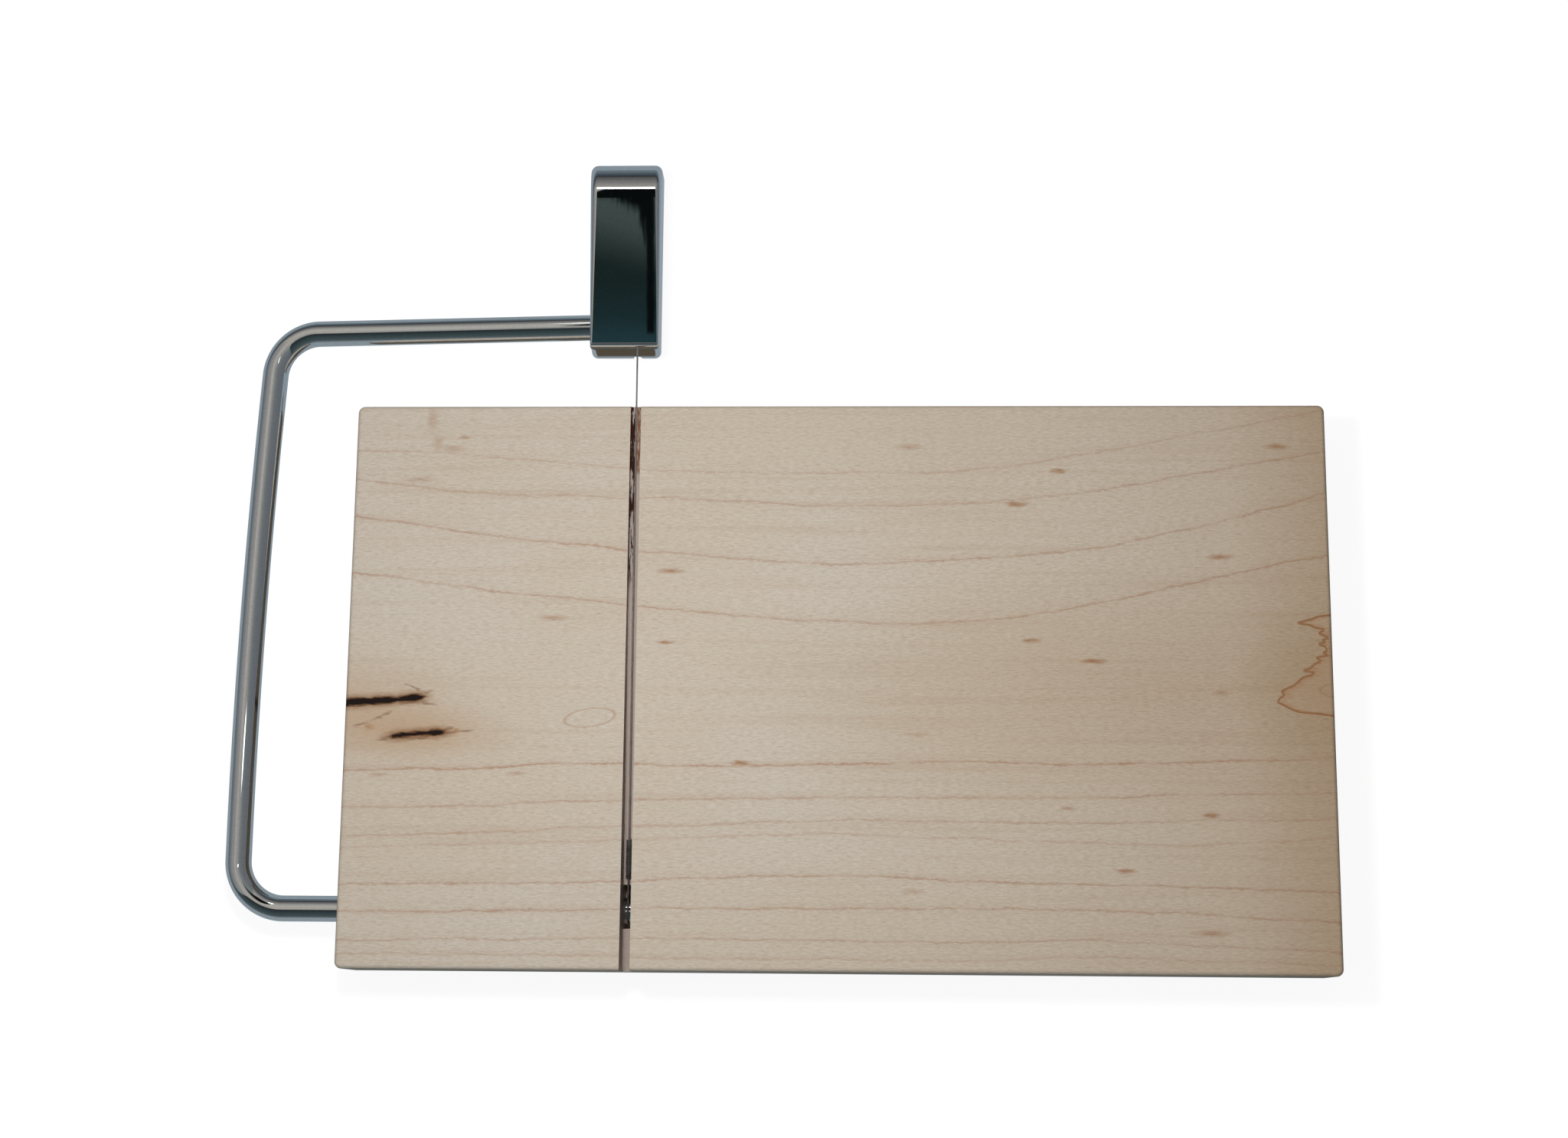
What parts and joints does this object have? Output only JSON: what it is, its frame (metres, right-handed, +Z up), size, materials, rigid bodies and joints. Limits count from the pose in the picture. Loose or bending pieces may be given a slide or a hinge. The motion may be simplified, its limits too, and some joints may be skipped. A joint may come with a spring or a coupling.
{
  "type": "cheese wire cutter",
  "caption": "Grooved maple board with a hinged bent steel rod, a chrome handle and a taut wire that drops into the groove to slice cheese.",
  "frame": {"origin": "centre of the whole part's plan box, on the plane the rubber feet stand on, arm lowered", "axes": "+X along the board's long side away from the arm, +Y from the hinge's near edge to the handle, +Z up out of the board's face"},
  "size_m": [0.2712, 0.2, 0.0396],
  "materials": {
    "maple": "oiled, fine sanded hard maple",
    "plated_rod": "bright chrome plate on steel rod",
    "plated_casting": "bright chrome plate on a zinc die casting",
    "wire": "drawn stainless steel wire",
    "screw_steel": "zinc plated steel",
    "set_screw_steel": "blackened steel",
    "foot_rubber": "matt rubber"
  },
  "bodies": {
    "base": {"board": "maple", "foot_nl": "foot_rubber", "foot_nr": "foot_rubber", "foot_fl": "foot_rubber", "foot_fr": "foot_rubber", "foot_screw_nl": "screw_steel", "foot_screw_nr": "screw_steel", "foot_screw_fl": "screw_steel", "foot_screw_fr": "screw_steel"},
    "arm": {"arm_rod": "plated_rod", "handle": "plated_casting", "cutting_wire": "wire", "anchor_screw": "screw_steel", "set_screw": "set_screw_steel"}
  },
  "joints": [
    {"name": "arm_hinge", "type": "hinge", "parent": "base", "child": "arm", "pos_m": [-0.03546, -0.08532, 0.01452], "axis": [1, 0, 0], "range_deg": [0, 104]}
  ]
}
